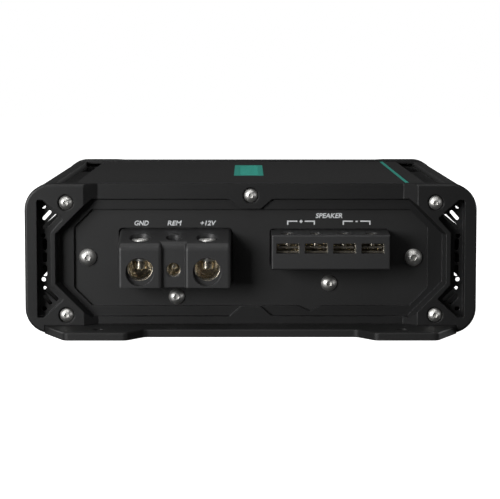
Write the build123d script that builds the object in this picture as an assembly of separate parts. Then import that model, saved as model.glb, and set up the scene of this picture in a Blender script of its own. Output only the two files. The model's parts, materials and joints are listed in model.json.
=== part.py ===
from build123d import *
import math
import os

# Mono car amplifier with a finned aluminium body between two moulded end caps.
# Millimetres. X is the width, Y the depth with the terminals at -Y, Z is up.
# The origin is under the middle of the amplifier, on the plane its feet rest on.

os.makedirs("parts", exist_ok=True)

# Overall size
WIDTH = 200.0
HEIGHT = 66.4
MID_Z = HEIGHT / 2
CAP_SPAN = 220.0             # outer face to outer face of the two end caps
CAP_DEPTH = 10.5
FRONT = -CAP_SPAN / 2
REAR = CAP_SPAN / 2
BODY_HALF = REAR - CAP_DEPTH  # half the length of the extrusion

# End cap face
CORNER_RADIUS = 11.3
EDGE_ROUND = 1.1
BAR_RECESS = 5.5             # the bars between the corner pads sit back this far
PAD_INNER_X = 73.9           # where a corner pad ends and the ramp to the bar begins
BAR_END_X = 68.0
POCKET = (86.5, 27.1, 16.0)  # octagon: half width, half height, corner cut
POCKET_DEPTH = 7.0
POCKET_TAPER = 9.0
WINDOW = (78.7, 21.5, 8.0)
PANEL = (83.6, 25.6, 13.0)
PANEL_THICKNESS = 2.0
PANEL_FACE = 8.5             # depth of the end panel behind the cap face
FIT_GAP = 0.15
TAB_TOP_X = 10.6
TAB_END_X = 4.4

# Vents in the cap corners
VENT_OUTER_X = 94.6
VENT_INNER_X = 88.5
VENT_NOSE_X = 82.7
VENT_NOSE_DZ = 18.0
VENT_TIP_DZ = 26.2
VENT_INNER_DZ = 11.6
WEB_FRONT = 6.8
WEB_BACK = 8.4
VENT_DOTS = ((92.2, 22.9, 1.05), (92.4, 9.8, 1.0))   # X, height from the middle, radius
VENT_SLOTS = (                                       # two centres as X and height, width
    ((92.0, 17.5), (89.4, 20.4), 1.5), ((91.8, 13.6), (86.6, 18.6), 1.6), ((91.8, 4.3), (91.8, 7.4), 2.0),
)
MIDDLE_SLOT = (1.3, 2.0)     # half length, width

# Extrusion section
TOP_Z = HEIGHT - 1.0
TOP_THICKNESS = 4.0
WALL_OUTER_X = 79.0
WALL_THICKNESS = 3.0
TRENCH_OUTER_X = 88.4
TRENCH_FLOOR_Z = 62.7
TRENCH_FLOOR = 3.0
TRENCH_OPENING = (79.8, 87.8)
TRENCH_OPENING_Y = (50.0, 96.0)
FIN_SKIN = 2.6
SKIRT = 1.8
SIDE_X = 98.0
TOP_RAIL_END_Z = 53.4
TOP_RAIL_RADIUS = 7.0
MID_RAIL = (21.0, 43.5)
LOW_RAIL_TOP_Z = 12.5
RAIL_ROUND = 1.2
STRIPE_X = 71.1
STRIPE_WIDTH = 1.8
TRIM_DEPTH = 0.8             # grooves of the strip and the badge
TRIM_SET_DOWN = 0.05
BADGE_X = -0.8
BADGE_Y = (FRONT + 81.0, FRONT + 175.0)
BADGE_WIDTH = 14.3
BADGE_MARGIN = 2.5
BADGE_BARS = 9
BADGE_BAR_PITCH = 9.0

# Base plate and its feet
BASE_THICKNESS = 3.5
BASE_HALF_X = 91.4
FLANGE_REACH = 12.0
FOOT_REACH = 23.0
FOOT_OUTER_X = 81.0
FOOT_INNER_X = 54.0
FOOT_STEP_X = 46.5
FOOT_ROUND = 3.0
FOOT_HOLE_X = 66.5
FOOT_HOLE_RADIUS = 2.6
FOOT_HOLE_Y = CAP_SPAN / 2 + 12.5

# Fasteners
M3_RADIUS = 1.5
M4_RADIUS = 2.0
SCREW_GAP = 0.06
CAP_SCREW_X = 81.7
CAP_SCREW_DZ = 25.0
TOP_SCREW_Z = 61.0
CAP_SCREW_HEAD = 3.05
CAP_SCREW_SEAT = 3.6
SEAT_DEPTH = 1.3
PANEL_SCREW_X = 72.7
PANEL_SCREW_HEAD = 3.85
BOSS_RADIUS = 3.4
BASE_SCREW_X = 87.0
BASE_SCREW_Y = (-82.0, 0.0, 82.0)
SINK_DEPTH = 1.8
TERMINAL_SCREWS = ((-33.1, 15.6), (35.0, 21.6))

# Power terminal block
POWER_X = (-58.2, -8.6)
POWER_Z = (21.6, 45.8)
POWER_FRONT_Z = 40.6         # height of the sloped top at the front face
BLOCK_REACH = 20.0           # how far both blocks stand out of the panel
BLOCK_FRONT_Y = FRONT + PANEL_FACE - BLOCK_REACH
BLOCK_BACK_Y = -90.0
BLOCK_GAP = 0.6              # between a block and the panel's edge
BLOCK_FLANGE = 3.0           # how far its flange reaches out behind the panel
BLOCK_FLANGE_Y = (-99.4, -96.4)
POWER_FLANGE_LOW_Z = 12.5
POWER_TOP_ROUND = 3.4
REM_LOBE_X = (-38.85, -28.95)
REM_SET_BACK = 2.5
LOBE_ROUND = 1.6
ENTRY_DEPTH = 2.9
SCREW_AXIS_Y = FRONT - 2.5
TERMINALS = {
    # name: (x, bore z, bore radius, entry z, entry radius, half width, screw radius)
    "ground": (-48.6, 30.0, 4.8, 28.5, 6.2, 7.4, 4.0),
    "remote": (-33.9, 29.4, 2.6, 29.1, 3.25, 3.7, 2.5),
    "supply": (-19.1, 30.0, 4.8, 28.5, 6.2, 7.4, 4.0),
}
TIP_Z = {"ground": 28.8, "remote": 29.2, "supply": 28.8}   # lower faces, screws part way down
RING_RATIO = 1.17            # the plated ring seen in an entry, over the bore inside it
BARREL_FRONT_Y = -117.5
BARREL_TOP_Z = 38.6
BARREL_FLOOR = 2.1           # metal under the bore
BARREL_BACK_Y = -93.0
BORE_END_Y = -99.0
SET_SCREW_LENGTH = 9.4
THREAD_GAP = 0.08
SWIVEL_GAP = 0.12

# Speaker terminal block
SPEAKER_X = (9.1, 60.95)
SPEAKER_Z = (29.6, 45.4)
SPEAKER_FRONT_Z = 44.75
SPEAKER_FLANGE_LOW_Z = 17.6
SPEAKER_PITCH = 12.4
SPEAKER_FIRST_X = 16.25
SPEAKER_WINDOW = (10.1, 4.4)
SPEAKER_WINDOW_Z = 38.9
SPEAKER_SCREW_Y = FRONT - 3.6
SPEAKER_SCREW_RADIUS = 1.75
SPEAKER_WELL_RADIUS = 3.15
CAGE_FRONT_Y = -116.6
CAGE_BACK_Y = -98.0
CAGE_Z = (35.95, 42.05)
CAGE_HALF = 5.5
CAGE_INSIDE = (4.75, 37.45, 41.0)   # half width, floor, roof
CAGE_GAP = 0.15
PLATE_LOW_Z = 38.4
PLATE_Y = (-116.2, -109.4)

# Rear controls
CONTROL_Z = MID_Z
RCA_X = (60.0, 44.0)
RCA_SHELL_RADIUS = 4.15
KNOB_X = {"gain": 26.0, "lowpass": 11.0, "subsonic": -4.0, "bass_boost": -19.0}
KNOB_RADIUS = 4.3
SWITCH_X = {"phase": -33.0, "input_level": -45.0}
JACK_X = -61.0
LENS_X = (-2.5, 2.5)
LENS_Z = 48.5
CONTROL_BOARD_Y = 84.0

# Inside
BOARD_Z = 11.5
BOARD_THICKNESS = 1.6
BOARD_TOP = BOARD_Z + BOARD_THICKNESS
BOARD_HALF_X = 70.0
BOARD_Y = (-86.0, 81.0)
DEVICE_Y = (-56.0, -40.0, -24.0, -8.0, 8.0, 24.0, 40.0, 56.0)
CLAMP_SCREW_Y = (-48.0, 0.0, 48.0)
CLAMP_Z = BOARD_TOP + 8.0
PAD_THICKNESS = 0.5
DEVICE_DEPTH = 4.6
CLAMP_THICKNESS = 1.6


def block(x, y, z):
    """A box between the limits given for each axis."""
    size = (x[1] - x[0], y[1] - y[0], z[1] - z[0])
    middle = ((x[0] + x[1]) / 2, (y[0] + y[1]) / 2, (z[0] + z[1]) / 2)
    return Pos(*middle) * Box(*size)


def rod_x(radius, x, y, z):
    """A cylinder along X between two x values."""
    return Pos((x[0] + x[1]) / 2, y, z) * Rot(0, 90, 0) * Cylinder(radius, x[1] - x[0])


def rod_y(radius, x, y, z):
    """A cylinder along Y between two y values."""
    return Pos(x, (y[0] + y[1]) / 2, z) * Rot(90, 0, 0) * Cylinder(radius, y[1] - y[0])


def rod_z(radius, x, y, z):
    """A cylinder along Z between two z values."""
    return Pos(x, y, (z[0] + z[1]) / 2) * Cylinder(radius, z[1] - z[0])


def outline(points, radius=0.0):
    """A flat face with the given corners, rounded if a radius is given."""
    face = make_face(Polyline(*points, close=True))
    if radius:
        face = fillet(face.vertices(), radius)
    return face


def along_y(face, y):
    """A face drawn as X and Z, extruded between two y values."""
    return extrude(Plane.XZ.offset(-y[1]) * face, y[1] - y[0])


def along_x(face, x):
    """A face drawn as Y and Z, extruded between two x values."""
    return extrude(Plane.YZ.offset(x[0]) * face, x[1] - x[0])


def along_z(face, z):
    """A face drawn as X and Y, extruded between two z values."""
    return extrude(Plane.XY.offset(z[0]) * face, z[1] - z[0])


def octagon(half_x, half_z, cut):
    """An oblong with its four corners cut off, centred on the cap."""
    upper, lower = MID_Z + half_z, MID_Z - half_z
    corners = [
        (half_x - cut, upper), (half_x, upper - cut), (half_x, lower + cut), (half_x - cut, lower),
        (cut - half_x, lower), (-half_x, lower + cut), (-half_x, upper - cut), (cut - half_x, upper),
    ]
    return outline(corners)


def both_sides(part):
    """A part and its mirror image on the other side of the middle."""
    return part + mirror(part, Plane.YZ)


def merged(parts):
    """One solid from parts that touch or overlap."""
    whole = parts[0]
    for part in parts[1:]:
        whole = whole + part
    return whole


def save(node, solids):
    """Write one node, as one solid or as a group of separate solids."""
    if isinstance(solids, (list, tuple)):
        solids = Compound(children=[solid for item in solids for solid in item.solids()])
    export_step(solids, os.path.join("parts", node + ".step"))


def button_screw(head, shank, length, head_height=2.2):
    """A domed screw with a hex socket, head up, its seat at z = 0."""
    dome = Pos(0, 0, head_height - head * 1.25) * Sphere(head * 1.25)
    cap = rod_z(head, 0, 0, (0, head_height)) & dome
    floor = head_height * 0.4
    socket = Pos(0, 0, floor) * extrude(RegularPolygon(head * 0.37, 6), head_height)
    return cap + rod_z(shank, 0, 0, (-length, 0.0)) - socket


def facing_front(part, x, y, z):
    """Turn a part that points up so that it points out of the front."""
    return Pos(x, y, z) * Rot(90, 0, 0) * part


def cap_blank():
    """The outer form of an end cap, seen at the front."""
    face = Pos(0, MID_Z) * RectangleRounded(WIDTH, HEIGHT, CORNER_RADIUS)
    blank = along_y(face, (FRONT, FRONT + CAP_DEPTH))
    rim = blank.faces().sort_by(Axis.Y)[0].edges()
    return fillet(rim, EDGE_ROUND)


def bar_trough():
    """The space in front of the two bars, with a ramp up to each corner pad."""
    slope = (PAD_INNER_X - BAR_END_X) / BAR_RECESS
    above = 2.0
    wide = PAD_INNER_X + slope * above
    plan = outline([
        (-wide, FRONT - above), (wide, FRONT - above),
        (BAR_END_X, FRONT + BAR_RECESS), (-BAR_END_X, FRONT + BAR_RECESS),
    ])
    return along_z(plan, (-1.0, HEIGHT + 1.0))


def bar_tabs():
    """The tabs in the middle of the bars, which the octagonal pocket leaves standing."""
    reach = MID_Z - 11.4
    edge = POCKET[1] + 2.0
    slope = (TAB_TOP_X - TAB_END_X) / (POCKET[1] - reach)
    wide = TAB_TOP_X + slope * 2.0
    tab = outline([(-wide, MID_Z + edge), (wide, MID_Z + edge),
                   (TAB_END_X, MID_Z + reach), (-TAB_END_X, MID_Z + reach)])
    upper = along_y(tab, (FRONT - 1.0, FRONT + CAP_DEPTH))
    return upper + mirror(upper, Plane.XY.offset(MID_Z))


def cap_pocket():
    """The shallow octagonal pocket of a cap face, its walls drafted."""
    face = Plane.XZ.offset(-FRONT) * octagon(*POCKET)
    pocket = extrude(face, -POCKET_DEPTH, taper=POCKET_TAPER)
    return pocket - bar_tabs()


def vent_outline(grow=0.0):
    """The arrow-shaped vent beside the pocket, on the +X side."""
    nose = VENT_NOSE_X - grow
    inner = VENT_INNER_X - grow
    outer = VENT_OUTER_X + grow
    return outline([
        (outer, MID_Z + VENT_TIP_DZ + grow), (outer - 2.6, MID_Z + VENT_TIP_DZ + grow),
        (nose, MID_Z + VENT_NOSE_DZ), (inner, MID_Z + VENT_INNER_DZ),
        (inner, MID_Z - VENT_INNER_DZ), (nose, MID_Z - VENT_NOSE_DZ),
        (outer - 2.6, MID_Z - VENT_TIP_DZ - grow), (outer, MID_Z - VENT_TIP_DZ - grow),
    ], 0.9)


def slot_between(start, end, width):
    """A round-ended slot through the vent's web, between two centres given as X and Z."""
    length = math.dist(start, end)
    angle = math.degrees(math.atan2(end[1] - start[1], end[0] - start[0]))
    middle = ((start[0] + end[0]) / 2, (start[1] + end[1]) / 2)
    face = Pos(*middle) * Rot(0, 0, angle) * SlotCenterToCenter(length, width)
    return along_y(face, (FRONT + WEB_FRONT - 1.0, FRONT + WEB_BACK + 1.0))


def vent_slots():
    """The dots and slots in one vent's web, alike above and below the middle."""
    half, width = MIDDLE_SLOT
    middle_x = VENT_SLOTS[-1][0][0]
    through = (FRONT + WEB_FRONT - 1.0, FRONT + WEB_BACK + 1.0)
    cuts = [slot_between((middle_x, MID_Z - half), (middle_x, MID_Z + half), width)]
    for side in (1, -1):
        for x, dz, radius in VENT_DOTS:
            cuts.append(rod_y(radius, x, through, MID_Z + side * dz))
        for start, end, width in VENT_SLOTS:
            low = (start[0], MID_Z + side * start[1])
            high = (end[0], MID_Z + side * end[1])
            cuts.append(slot_between(low, high, width))
    return merged(cuts)


def vent_cut():
    """All that is removed for one vent: the recess, the slots and the space behind the web."""
    recess = along_y(vent_outline(), (FRONT - 1.0, FRONT + WEB_FRONT))
    behind = along_y(vent_outline(), (FRONT + WEB_BACK, FRONT + CAP_DEPTH + 1.0))
    return recess + behind + vent_slots()


def cap_screw_places():
    """Centres of the five screws of a cap: X, depth of the face there, Z."""
    places = [(0.0, BAR_RECESS, TOP_SCREW_Z)]
    for x in (-CAP_SCREW_X, CAP_SCREW_X):
        for dz in (-CAP_SCREW_DZ, CAP_SCREW_DZ):
            places.append((x, 0.0, MID_Z + dz))
    return places


def end_cap(window):
    """An end cap at the front, with the given window face cut through it."""
    cap = cap_blank() - bar_trough() - cap_pocket()
    cap -= along_y(window, (FRONT, FRONT + CAP_DEPTH)) - bar_tabs()
    cap -= along_y(octagon(PANEL[0] + FIT_GAP, PANEL[1] + FIT_GAP, PANEL[2]),
                   (FRONT + PANEL_FACE, FRONT + CAP_DEPTH + 1.0))
    cap -= both_sides(vent_cut())
    for x, depth, z in cap_screw_places():
        seat = FRONT + depth + SEAT_DEPTH
        cap -= rod_y(CAP_SCREW_SEAT, x, (FRONT - 1.0, seat), z)
        cap -= rod_y(M3_RADIUS + 0.2, x, (FRONT, FRONT + CAP_DEPTH + 1.0), z)
    trench = block((WALL_OUTER_X + 0.6, TRENCH_OUTER_X - 0.4), (FRONT + 3.0, FRONT + CAP_DEPTH + 1.0),
                   (TRENCH_FLOOR_Z - 0.6, HEIGHT - 2.2))
    cap -= both_sides(trench)
    return cap - block((-BASE_HALF_X - FIT_GAP, BASE_HALF_X + FIT_GAP),
                       (FRONT - 1.0, FRONT + CAP_DEPTH + 1.0), (-1.0, BASE_THICKNESS + 0.05))


def front_window():
    """The front cap's window, with a small dip below the speaker terminals."""
    lower = MID_Z - WINDOW[1]
    dip = outline([(20.8, lower + 1.0), (20.8, lower), (26.4, lower - 2.5),
                   (31.4, lower), (31.4, lower + 1.0)])
    return octagon(*WINDOW) + dip


def box_rail(z):
    """A closed box rail beside the wall, between two heights."""
    length = (-BODY_HALF, BODY_HALF)
    tube = block((WALL_OUTER_X - 1.0, SIDE_X), length, z)
    hollow = block((WALL_OUTER_X, SIDE_X - FIN_SKIN), length, (z[0] + FIN_SKIN, z[1] - FIN_SKIN))
    edges = tube.edges().filter_by(Axis.Y).group_by(Axis.X)[-1]
    return fillet(edges, RAIL_ROUND) - hollow


def skirt_rail(z):
    """A shelf beside the wall with a skirt hanging from its edge, open below."""
    length = (-BODY_HALF, BODY_HALF)
    rail = block((WALL_OUTER_X - 1.0, SIDE_X), length, z)
    under = block((WALL_OUTER_X, SIDE_X - SKIRT), length, (z[0] - 1.0, z[1] - FIN_SKIN))
    edge = rail.edges().filter_by(Axis.Y).group_by(Axis.X)[-1].sort_by(Axis.Z)[-1]
    return fillet(edge, RAIL_ROUND) - under


def top_rail():
    """The hooked rail along the top edge: a skin that rounds over and stops above the side gap."""
    skin = FIN_SKIN
    inner_radius = TOP_RAIL_RADIUS - skin - 0.3
    block_face = outline([
        (TRENCH_OUTER_X, TRENCH_FLOOR_Z - skin), (SIDE_X, TRENCH_FLOOR_Z - skin),
        (SIDE_X, TOP_Z), (TRENCH_OUTER_X, TOP_Z),
    ])
    rail = along_y(block_face, (-BODY_HALF, BODY_HALF))
    rail += block((SIDE_X - skin, SIDE_X), (-BODY_HALF, BODY_HALF), (TOP_RAIL_END_Z, TOP_Z))
    corner = rail.edges().filter_by(Axis.Y).group_by(Axis.X)[-1].sort_by(Axis.Z)[-1]
    rail = fillet(corner, TOP_RAIL_RADIUS)
    ceiling = TOP_Z - skin
    hollow = block((TRENCH_OUTER_X + skin, SIDE_X - skin), (-BODY_HALF, BODY_HALF), (TOP_RAIL_END_Z, ceiling))
    hollow_edge = hollow.edges().filter_by(Axis.Y).group_by(Axis.X)[-1].sort_by(Axis.Z)[-1]
    return rail - fillet(hollow_edge, inner_radius)


def trench_floor():
    """The floor of the channel beside the top plate, open to the air near both ends."""
    floor = block((WALL_OUTER_X - 1.0, TRENCH_OUTER_X + 1.0), (-BODY_HALF, BODY_HALF),
                  (TRENCH_FLOOR_Z - TRENCH_FLOOR, TRENCH_FLOOR_Z))
    through = (TRENCH_FLOOR_Z - TRENCH_FLOOR - 1.0, TRENCH_FLOOR_Z + 1.0)
    floor -= block(TRENCH_OPENING, TRENCH_OPENING_Y, through)
    return floor - block(TRENCH_OPENING, (-TRENCH_OPENING_Y[1], -TRENCH_OPENING_Y[0]), through)


def body_side():
    """The +X half of the extrusion: half the top plate, the wall, the rails and the screw channels."""
    length = (-BODY_HALF, BODY_HALF)
    side = block((0, WALL_OUTER_X), length, (TOP_Z - TOP_THICKNESS, TOP_Z))
    side += block((WALL_OUTER_X - WALL_THICKNESS, WALL_OUTER_X), length, (BASE_THICKNESS, TOP_Z - 1.0))
    side += trench_floor()
    side += top_rail()
    side += skirt_rail(MID_RAIL)
    side += box_rail((BASE_THICKNESS, LOW_RAIL_TOP_Z))
    side += block((BASE_SCREW_X - BOSS_RADIUS, BASE_SCREW_X + BOSS_RADIUS), length,
                  (BASE_THICKNESS, LOW_RAIL_TOP_Z - 1.0))
    for z in (MID_Z - CAP_SCREW_DZ, MID_Z + CAP_SCREW_DZ):
        side += rod_y(BOSS_RADIUS, CAP_SCREW_X, length, z)
    side += rod_y(BOSS_RADIUS + 0.4, PANEL_SCREW_X, length, MID_Z)
    return side + block((PANEL_SCREW_X, WALL_OUTER_X - 1.0), length,
                        (MID_Z - BOSS_RADIUS, MID_Z + BOSS_RADIUS))


def body_holes():
    """The threaded holes in the +X half of the extrusion."""
    length = (-BODY_HALF, BODY_HALF)
    holes = [rod_y(M4_RADIUS + SCREW_GAP, PANEL_SCREW_X, length, MID_Z)]
    for dz in (-CAP_SCREW_DZ, CAP_SCREW_DZ):
        holes.append(rod_y(M3_RADIUS + SCREW_GAP, CAP_SCREW_X, length, MID_Z + dz))
    for y in BASE_SCREW_Y:
        holes.append(rod_z(M3_RADIUS + SCREW_GAP, BASE_SCREW_X, y, (0, LOW_RAIL_TOP_Z - 2.0)))
    for y in CLAMP_SCREW_Y:
        holes.append(rod_x(M3_RADIUS + SCREW_GAP, (60.0, WALL_OUTER_X - 0.8), y, CLAMP_Z))
    return holes


def heatsink():
    """The extruded aluminium body: top plate, walls, side rails and screw channels."""
    side = body_side()
    for hole in body_holes():
        side -= hole
    body = both_sides(side)
    body += rod_y(BOSS_RADIUS, 0, (-BODY_HALF, BODY_HALF), TOP_SCREW_Z)
    body -= rod_y(M3_RADIUS + SCREW_GAP, 0, (-BODY_HALF, BODY_HALF), TOP_SCREW_Z)
    body -= stripe(TOP_Z + 1.0)
    return body - badge_blank(TOP_Z + 1.0)


def stripe(top):
    """The coloured strip along the +X side of the top plate, up to a given height."""
    half = STRIPE_WIDTH / 2
    return block((STRIPE_X - half, STRIPE_X + half), (-BODY_HALF, BODY_HALF), (TOP_Z - TRIM_DEPTH, top))


def badge_blank(top):
    """The plain form of the badge, up to a given height."""
    half = BADGE_WIDTH / 2
    return block((BADGE_X - half, BADGE_X + half), BADGE_Y, (TOP_Z - TRIM_DEPTH, top))


def badge():
    """The coloured badge plate, with a row of plain bars pressed into it."""
    plate = badge_blank(TOP_Z - TRIM_SET_DOWN)
    half = BADGE_WIDTH / 2 - BADGE_MARGIN
    first = (BADGE_Y[0] + BADGE_Y[1]) / 2 - BADGE_BAR_PITCH * (BADGE_BARS - 1) / 2
    for step in range(BADGE_BARS):
        y = first + step * BADGE_BAR_PITCH
        plate -= block((BADGE_X - half, BADGE_X + half), (y - 1.4, y + 1.4), (TOP_Z - 0.35, TOP_Z + 1.0))
    return plate


def base_outline():
    """The base plate seen from above, with a flange and two feet at each end."""
    corners = [
        (BASE_HALF_X, 0.0), (BASE_HALF_X, FRONT), (FOOT_OUTER_X, FRONT - FOOT_REACH),
        (FOOT_INNER_X, FRONT - FOOT_REACH), (FOOT_STEP_X, FRONT - FLANGE_REACH), (0.0, FRONT - FLANGE_REACH),
        (0.0, 0.0),
    ]
    quarter = outline(corners)
    rounded = [v for v in quarter.vertices() if v.Y < FRONT - FLANGE_REACH / 2 and v.X > 1.0]
    quarter = fillet(rounded, FOOT_ROUND)
    half = quarter + mirror(quarter, Plane.YZ)
    return half + Rot(0, 0, 180) * half


def base_plate():
    """The bottom plate, drilled for the screws that hold it and for those that hold the amplifier down."""
    plate = along_z(base_outline(), (0.0, BASE_THICKNESS))
    top_edges = plate.faces().sort_by(Axis.Z)[-1].edges().filter_by(
        lambda e: abs(e.center().Y) > REAR + FLANGE_REACH / 2)
    plate = fillet(top_edges, 0.7)
    for x in (-FOOT_HOLE_X, FOOT_HOLE_X):
        for y in (-FOOT_HOLE_Y, FOOT_HOLE_Y):
            plate -= rod_z(FOOT_HOLE_RADIUS, x, y, (-1.0, BASE_THICKNESS + 1.0))
    for x, y in base_screw_places() + standoff_places():
        plate -= rod_z(M3_RADIUS + 0.2, x, y, (-1.0, BASE_THICKNESS + 1.0))
        plate -= Pos(x, y, SINK_DEPTH / 2) * Cone(3.35, 1.75, SINK_DEPTH)
    return plate


def base_screw_places():
    """Where the base plate is screwed to the body."""
    return [(x, y) for x in (-BASE_SCREW_X, BASE_SCREW_X) for y in BASE_SCREW_Y]


def standoff_places():
    """Where the main board stands on its pillars."""
    return [(x, y) for x in (-55.0, 55.0) for y in (-76.0, 0.0, 70.0)]


def flat_screw(length):
    """A countersunk screw pointing up from the underside, its head just below the face."""
    head = Pos(0, 0, 0.1 + SINK_DEPTH / 2) * Cone(3.0, 1.45, SINK_DEPTH)
    shank = rod_z(M3_RADIUS, 0, 0, (1.0, length))
    socket = extrude(RegularPolygon(1.15, 6), 1.2)
    return head + shank - socket


def front_panel():
    """The steel end panel behind the front window, cut out for the terminal blocks."""
    panel = along_y(octagon(*PANEL), (FRONT + PANEL_FACE, FRONT + PANEL_FACE + PANEL_THICKNESS))
    through = (FRONT, FRONT + CAP_DEPTH + 1.0)
    for x, z in ((POWER_X, POWER_Z), (SPEAKER_X, SPEAKER_Z)):
        wide, high = x[1] - x[0] + 2 * BLOCK_GAP, z[1] - z[0] + 2 * BLOCK_GAP
        panel -= along_y(Pos(sum(x) / 2, sum(z) / 2) * RectangleRounded(wide, high, LOBE_ROUND), through)
    for x in (-PANEL_SCREW_X, PANEL_SCREW_X):
        panel -= rod_y(M4_RADIUS + 0.2, x, through, MID_Z)
    for x, z in TERMINAL_SCREWS:
        panel -= rod_y(M4_RADIUS + 0.2, x, through, z)
    return panel


def power_profile(front_y):
    """The side view of the power block, its top sloping down to the front."""
    slope = (POWER_Z[1] - POWER_FRONT_Z) / BLOCK_REACH
    panel_y = FRONT + PANEL_FACE
    front_z = POWER_Z[1] - slope * (panel_y - front_y)
    face = outline([(BLOCK_BACK_Y, POWER_Z[0]), (front_y, POWER_Z[0]), (front_y, front_z),
                    (panel_y, POWER_Z[1]), (BLOCK_BACK_Y, POWER_Z[1])])
    front_corners = face.vertices().sort_by(Axis.X)[:2].sort_by(Axis.Y)
    return fillet(front_corners[1], POWER_TOP_ROUND)


def power_lobe(x, outer):
    """One cable lobe of the power block, rounded all round its outer side and at the front."""
    lobe = along_x(power_profile(BLOCK_FRONT_Y), x)
    sides = lobe.faces().filter_by(Axis.X).sort_by(Axis.X)
    outer_face, inner_face = (sides[0], sides[-1]) if outer < 0 else (sides[-1], sides[0])
    edges = outer_face.edges().filter_by(lambda e: e.center().Y < BLOCK_BACK_Y - 0.5)
    edges += inner_face.edges().filter_by(
        lambda e: e.center().Y < FRONT + 6.0 and e.center().Z > POWER_Z[0] + 0.5)
    return fillet(edges, LOBE_ROUND)


def block_flange(x, z):
    """The flange that a terminal block bears on the back of the panel with."""
    return block((x[0] - BLOCK_FLANGE, x[1] + BLOCK_FLANGE), BLOCK_FLANGE_Y, z)


def flange_hole(place):
    """The threaded hole for the screw that holds a terminal block."""
    through = (BLOCK_FLANGE_Y[0] - 1.0, BLOCK_FLANGE_Y[1] + 1.0)
    return rod_y(M4_RADIUS + SCREW_GAP, place[0], through, place[1])


def terminal_space(name):
    """All that is cut from the power block for one terminal: mouth, ring, pocket and screw well."""
    x, bore_z, bore, entry_z, entry, half, screw = TERMINALS[name]
    mouth = rod_y(entry, x, (BLOCK_FRONT_Y - 1.0, BLOCK_FRONT_Y + ENTRY_DEPTH), entry_z)
    ring = rod_y(bore * RING_RATIO, x, (BLOCK_FRONT_Y + ENTRY_DEPTH - 1.0, BARREL_FRONT_Y + 1.0), bore_z)
    pocket = block((x - half - FIT_GAP, x + half + FIT_GAP), (BARREL_FRONT_Y - 0.1, BLOCK_BACK_Y),
                   (bore_z - bore - BARREL_FLOOR - FIT_GAP, BARREL_TOP_Z + FIT_GAP))
    well = rod_z(screw + 0.95, x, SCREW_AXIS_Y, (BARREL_TOP_Z, POWER_Z[1] + 1.0))
    return mouth + ring + pocket + well


def power_housing():
    """The moulded power block: two lobes for the cables and a set-back middle."""
    housing = power_lobe((POWER_X[0], REM_LOBE_X[0]), -1) + power_lobe((REM_LOBE_X[1], POWER_X[1]), 1)
    middle = along_x(power_profile(BLOCK_FRONT_Y + REM_SET_BACK), (REM_LOBE_X[0] - 2.0, REM_LOBE_X[1] + 2.0))
    housing += middle
    housing += block_flange(POWER_X, (POWER_FLANGE_LOW_Z, POWER_Z[1] + BLOCK_FLANGE - 1.0))
    for name in TERMINALS:
        housing -= terminal_space(name)
    return housing - flange_hole(TERMINAL_SCREWS[0])


def barrel(name):
    """A plated brass terminal body with a cable bore and a threaded hole above it."""
    x, bore_z, bore, _, _, half, screw = TERMINALS[name]
    low = bore_z - bore - BARREL_FLOOR
    lip = bore * (RING_RATIO - 1.0) * 0.8
    body = block((x - half, x + half), (BARREL_FRONT_Y, BARREL_BACK_Y), (low, BARREL_TOP_Z))
    body = fillet(body.edges().filter_by(Axis.Y), 1.0)
    body -= rod_y(bore, x, (BARREL_FRONT_Y - 0.5, BORE_END_Y), bore_z)
    mouth = Cone(bore - 0.01, bore + lip - 0.01, lip)
    body -= Pos(x, BARREL_FRONT_Y + lip / 2, bore_z) * Rot(90, 0, 0) * mouth
    body -= rod_z(screw + THREAD_GAP, x, SCREW_AXIS_Y, (bore_z, BARREL_TOP_Z + 1.0))
    tail_x = (x - half * 0.6, x + half * 0.6)
    tail = block(tail_x, (BARREL_BACK_Y - 1.0, BARREL_BACK_Y + 9.0), (low + 2.0, low + 4.5))
    leg = block(tail_x, (BARREL_BACK_Y + 6.5, BARREL_BACK_Y + 9.0), (BOARD_TOP, low + 4.5))
    return body + tail + leg


def pressure_tip(name):
    """The swivelling tip that presses the cable, with its stem inside the set screw."""
    x, screw = TERMINALS[name][0], TERMINALS[name][-1]
    low = TIP_Z[name]
    radius = screw * 0.8
    tip = rod_z(radius, x, SCREW_AXIS_Y, (low, low + screw))
    tip = chamfer(tip.faces().sort_by(Axis.Z)[0].edges(), radius * 0.22)
    groove = radius * 0.16
    for angle in (0, 60, 120):
        cut = Box(radius * 3, groove * 2, groove * 2)
        tip -= Pos(x, SCREW_AXIS_Y, low) * Rot(0, 0, angle) * cut
    return tip + rod_z(screw * 0.38, x, SCREW_AXIS_Y, (low + screw, low + screw * 1.6))


def set_screw(name):
    """A set screw with a hex socket, sitting on its tip."""
    x, screw = TERMINALS[name][0], TERMINALS[name][-1]
    low = TIP_Z[name] + screw + SWIVEL_GAP
    high = low + SET_SCREW_LENGTH
    body = rod_z(screw, x, SCREW_AXIS_Y, (low, high))
    body = chamfer(body.faces().sort_by(Axis.Z)[-1].edges(), 0.5)
    body -= rod_z(screw * 0.38 + 0.07, x, SCREW_AXIS_Y, (low - 1.0, low + screw * 0.6 + 0.3))
    socket = extrude(RegularPolygon(screw * 0.58, 6), screw * 0.9)
    return body - Pos(x, SCREW_AXIS_Y, high - screw * 0.9 + 0.01) * socket


def speaker_places():
    """Centres of the four speaker terminals along X."""
    return [SPEAKER_FIRST_X + i * SPEAKER_PITCH for i in range(4)]


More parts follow.
